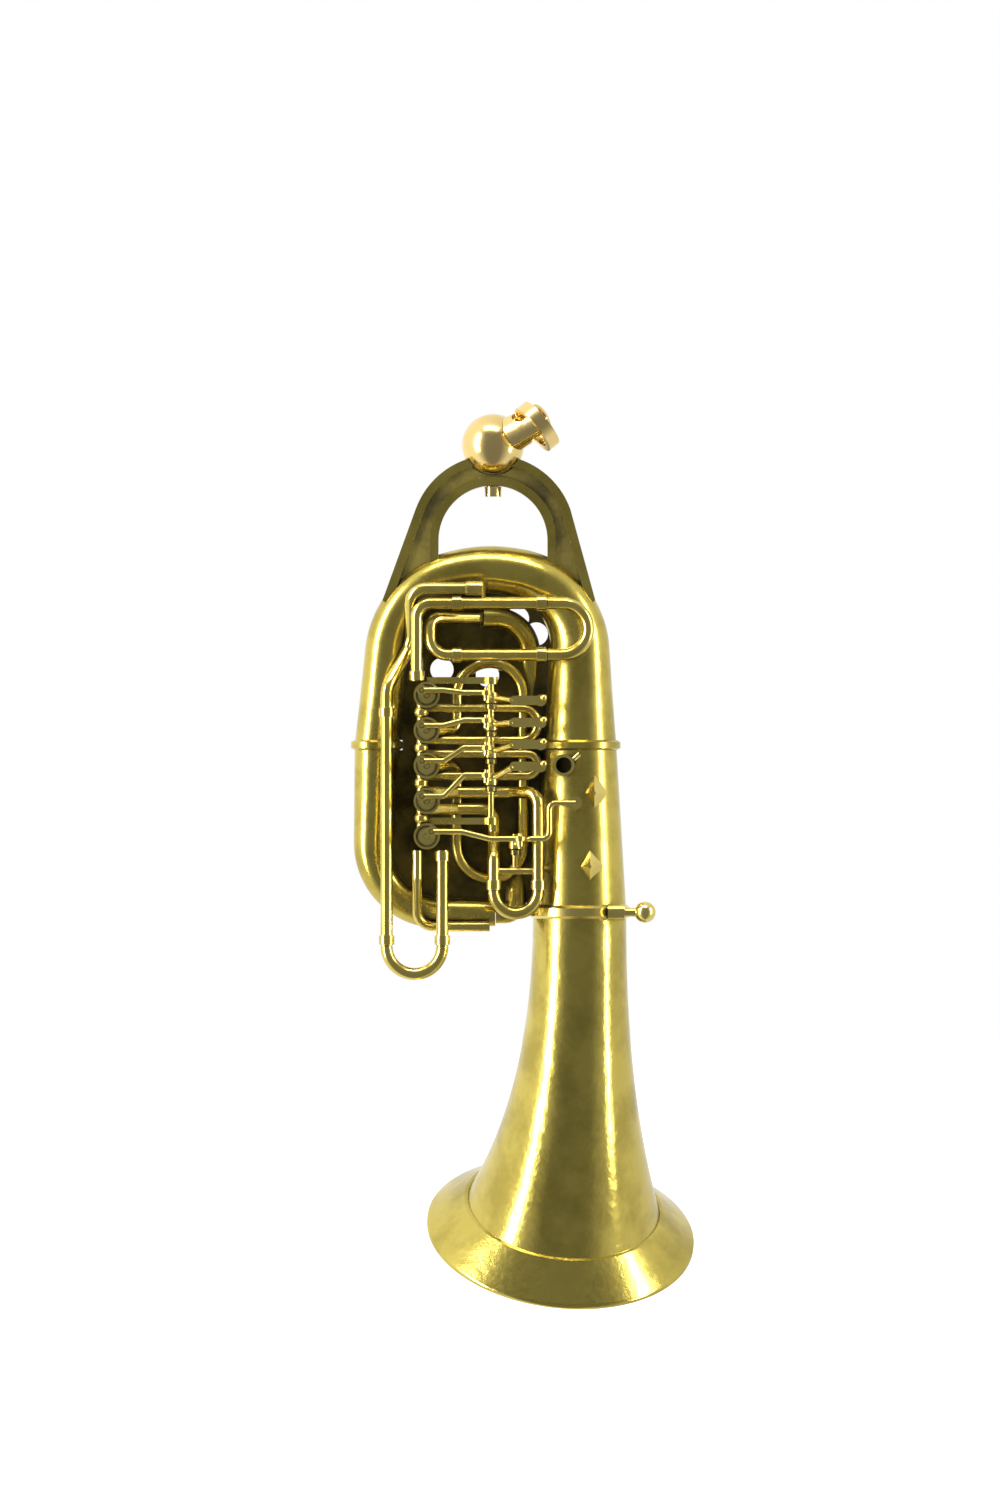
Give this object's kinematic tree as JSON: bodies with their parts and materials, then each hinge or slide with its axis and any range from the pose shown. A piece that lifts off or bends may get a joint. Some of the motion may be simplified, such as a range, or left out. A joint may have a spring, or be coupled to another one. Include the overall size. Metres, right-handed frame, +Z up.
{
  "type": "miniature rotary-valve horn ornament",
  "caption": "Miniature antiqued-gold rotary-valve horn with working valve levers, drawn slides, a swept bell and a ball-swivel hanging ring.",
  "frame": {"origin": "centre of the hanging ring", "axes": "+Z up along the hanging horn, +X to the right seen from the valve side, -Y towards the player's side with the valves and levers"},
  "size_m": [0.031, 0.0258, 0.0816],
  "materials": {
    "antique_gold": "antiqued gold plating, satin, dark in the recesses",
    "bright_gold": "bright gold plating",
    "dark_gold": "gold plating under black patina",
    "bell_gold": "brushed satin gold with a blotchy patina"
  },
  "bodies": {
    "horn": {"bell_branch": "bell_gold", "bell_ferrule": "antique_gold", "bell_flare": "bell_gold", "bell_garland": "bell_gold", "bell_rim_wire": "antique_gold", "bottom_bow": "antique_gold", "casting_web": "dark_gold", "diamond_bosses": "antique_gold", "finger_ring": "antique_gold", "foot_tube": "antique_gold", "hanger_arch": "antique_gold", "hinge_brackets": "dark_gold", "hinge_rods": "antique_gold", "inner_branch": "dark_gold", "leadpipe": "antique_gold", "left_limb_ferrule": "antique_gold", "lever_springs": "antique_gold", "long_slide_return": "antique_gold", "long_slide_tube": "antique_gold", "lower_valve_crook": "dark_gold", "mouthpiece_receiver": "antique_gold", "racetrack_lower_leg": "antique_gold", "racetrack_upper_leg": "antique_gold", "right_limb_ferrule": "antique_gold", "short_slide_left_tube": "antique_gold", "short_slide_right_tube": "antique_gold", "stays": "dark_gold", "top_bow": "antique_gold", "tube_ferrules": "antique_gold", "upper_valve_crook": "dark_gold", "valve_caps": "dark_gold", "valve_casing_1": "antique_gold", "valve_casing_2": "antique_gold", "valve_casing_3": "antique_gold", "valve_casing_4": "antique_gold", "valve_casing_5": "antique_gold", "valve_knuckles": "antique_gold", "valve_loop": "dark_gold"},
    "swivel": {"swivel_ball": "bright_gold", "stem_collar": "bright_gold"},
    "cup": {"eye_cup": "bright_gold"},
    "ring": {"hang_ring": "bright_gold"},
    "clamp": {"clamp_screw": "antique_gold"},
    "racetrack_bow": {"racetrack_bow": "antique_gold"},
    "long_bow": {"long_slide_bow": "antique_gold"},
    "short_bow": {"short_slide_bow": "antique_gold"},
    "lever_1": {"valve_lever_1": "antique_gold"},
    "rotor_1": {"valve_rotor_1": "antique_gold"},
    "link_1": {"valve_link_1": "antique_gold"},
    "lever_2": {"valve_lever_2": "antique_gold"},
    "rotor_2": {"valve_rotor_2": "antique_gold"},
    "link_2": {"valve_link_2": "antique_gold"},
    "lever_3": {"valve_lever_3": "antique_gold"},
    "rotor_3": {"valve_rotor_3": "antique_gold"},
    "link_3": {"valve_link_3": "antique_gold"},
    "lever_4": {"valve_lever_4": "antique_gold"},
    "rotor_4": {"valve_rotor_4": "antique_gold"},
    "link_4": {"valve_link_4": "antique_gold"},
    "lever_5": {"valve_lever_5": "antique_gold"},
    "rotor_5": {"valve_rotor_5": "antique_gold"},
    "link_5": {"valve_link_5": "antique_gold"}
  },
  "joints": [
    {"name": "ball_swivel", "type": "hinge", "parent": "horn", "child": "swivel", "pos_m": [-0.00397, 0.00388, -0.0016], "axis": [0, 0, 1], "continuous": true},
    {"name": "cup_swivel", "type": "hinge", "parent": "swivel", "child": "cup", "pos_m": [-0.00397, 0.00388, -0.0016], "axis": [0.7849, -0.4531, 0.4226], "continuous": true},
    {"name": "ring_swing", "type": "hinge", "parent": "cup", "child": "ring", "pos_m": [-0.00067, 0.00198, 0.00018], "axis": [0.5712, 0.2649, -0.7769], "range_deg": [-12, 12]},
    {"name": "clamp_turn", "type": "hinge", "parent": "horn", "child": "clamp", "pos_m": [0.00633, -0.00007, -0.0436], "axis": [1, 0, 0], "continuous": true},
    {"name": "racetrack_slide", "type": "slide", "parent": "horn", "child": "racetrack_bow", "axis": [1, 0, 0], "range_m": [0, 0.004]},
    {"name": "long_slide", "type": "slide", "parent": "horn", "child": "long_bow", "axis": [0, 0, -1], "range_m": [0, 0.005]},
    {"name": "short_slide", "type": "slide", "parent": "horn", "child": "short_bow", "axis": [0, 0, -1], "range_m": [0, 0.0018]},
    {"name": "lever_1_press", "type": "hinge", "parent": "horn", "child": "lever_1", "pos_m": [-0.00415, 0.00064, -0.02433], "axis": [0, 0, 1], "range_deg": [0, 20], "stiffness_Nm_per_rad": 0.0002},
    {"name": "rotor_1_turn", "type": "hinge", "parent": "horn", "child": "rotor_1", "pos_m": [-0.00991, 0.00018, -0.02409], "axis": [0, 1, 0], "range_deg": [0, 90]},
    {"name": "link_1_turn", "type": "hinge", "parent": "rotor_1", "child": "link_1", "pos_m": [-0.01033, -0.00177, -0.02367], "axis": [0, 1, 0], "range_deg": [-90, 0]},
    {"name": "lever_2_press", "type": "hinge", "parent": "horn", "child": "lever_2", "pos_m": [-0.00415, 0.00064, -0.02679], "axis": [0, 0, 1], "range_deg": [0, 20], "stiffness_Nm_per_rad": 0.0002},
    {"name": "rotor_2_turn", "type": "hinge", "parent": "horn", "child": "rotor_2", "pos_m": [-0.00991, 0.00018, -0.02727], "axis": [0, 1, 0], "range_deg": [0, 90]},
    {"name": "link_2_turn", "type": "hinge", "parent": "rotor_2", "child": "link_2", "pos_m": [-0.01033, -0.00177, -0.02684], "axis": [0, 1, 0], "range_deg": [-90, 0]},
    {"name": "lever_3_press", "type": "hinge", "parent": "horn", "child": "lever_3", "pos_m": [-0.00415, 0.00064, -0.02925], "axis": [0, 0, 1], "range_deg": [0, 20], "stiffness_Nm_per_rad": 0.0002},
    {"name": "rotor_3_turn", "type": "hinge", "parent": "horn", "child": "rotor_3", "pos_m": [-0.00991, 0.00018, -0.03044], "axis": [0, 1, 0], "range_deg": [0, 90]},
    {"name": "link_3_turn", "type": "hinge", "parent": "rotor_3", "child": "link_3", "pos_m": [-0.01033, -0.00177, -0.03001], "axis": [0, 1, 0], "range_deg": [-90, 0]},
    {"name": "lever_4_press", "type": "hinge", "parent": "horn", "child": "lever_4", "pos_m": [-0.00415, 0.00064, -0.03172], "axis": [0, 0, 1], "range_deg": [0, 20], "stiffness_Nm_per_rad": 0.0002},
    {"name": "rotor_4_turn", "type": "hinge", "parent": "horn", "child": "rotor_4", "pos_m": [-0.00991, 0.00018, -0.03361], "axis": [0, 1, 0], "range_deg": [0, 90]},
    {"name": "link_4_turn", "type": "hinge", "parent": "rotor_4", "child": "link_4", "pos_m": [-0.01033, -0.00177, -0.03318], "axis": [0, 1, 0], "range_deg": [-90, 0]},
    {"name": "lever_5_press", "type": "hinge", "parent": "horn", "child": "lever_5", "pos_m": [-0.00197, 0.00064, -0.03744], "axis": [0, 0, 1], "range_deg": [-20, 0], "stiffness_Nm_per_rad": 0.0002},
    {"name": "rotor_5_turn", "type": "hinge", "parent": "horn", "child": "rotor_5", "pos_m": [-0.00991, 0.00018, -0.03678], "axis": [0, 1, 0], "range_deg": [-90, 0]},
    {"name": "link_5_turn", "type": "hinge", "parent": "rotor_5", "child": "link_5", "pos_m": [-0.00949, -0.00177, -0.03635], "axis": [0, 1, 0], "range_deg": [0, 90]}
  ],
  "couplings": [
    {"joint": "rotor_1_turn", "follows": "lever_1_press", "ratio": 4.5},
    {"joint": "link_1_turn", "follows": "lever_1_press", "ratio": -4.5},
    {"joint": "rotor_2_turn", "follows": "lever_2_press", "ratio": 4.5},
    {"joint": "link_2_turn", "follows": "lever_2_press", "ratio": -4.5},
    {"joint": "rotor_3_turn", "follows": "lever_3_press", "ratio": 4.5},
    {"joint": "link_3_turn", "follows": "lever_3_press", "ratio": -4.5},
    {"joint": "rotor_4_turn", "follows": "lever_4_press", "ratio": 4.5},
    {"joint": "link_4_turn", "follows": "lever_4_press", "ratio": -4.5},
    {"joint": "rotor_5_turn", "follows": "lever_5_press", "ratio": 4.5},
    {"joint": "link_5_turn", "follows": "lever_5_press", "ratio": -4.5}
  ]
}
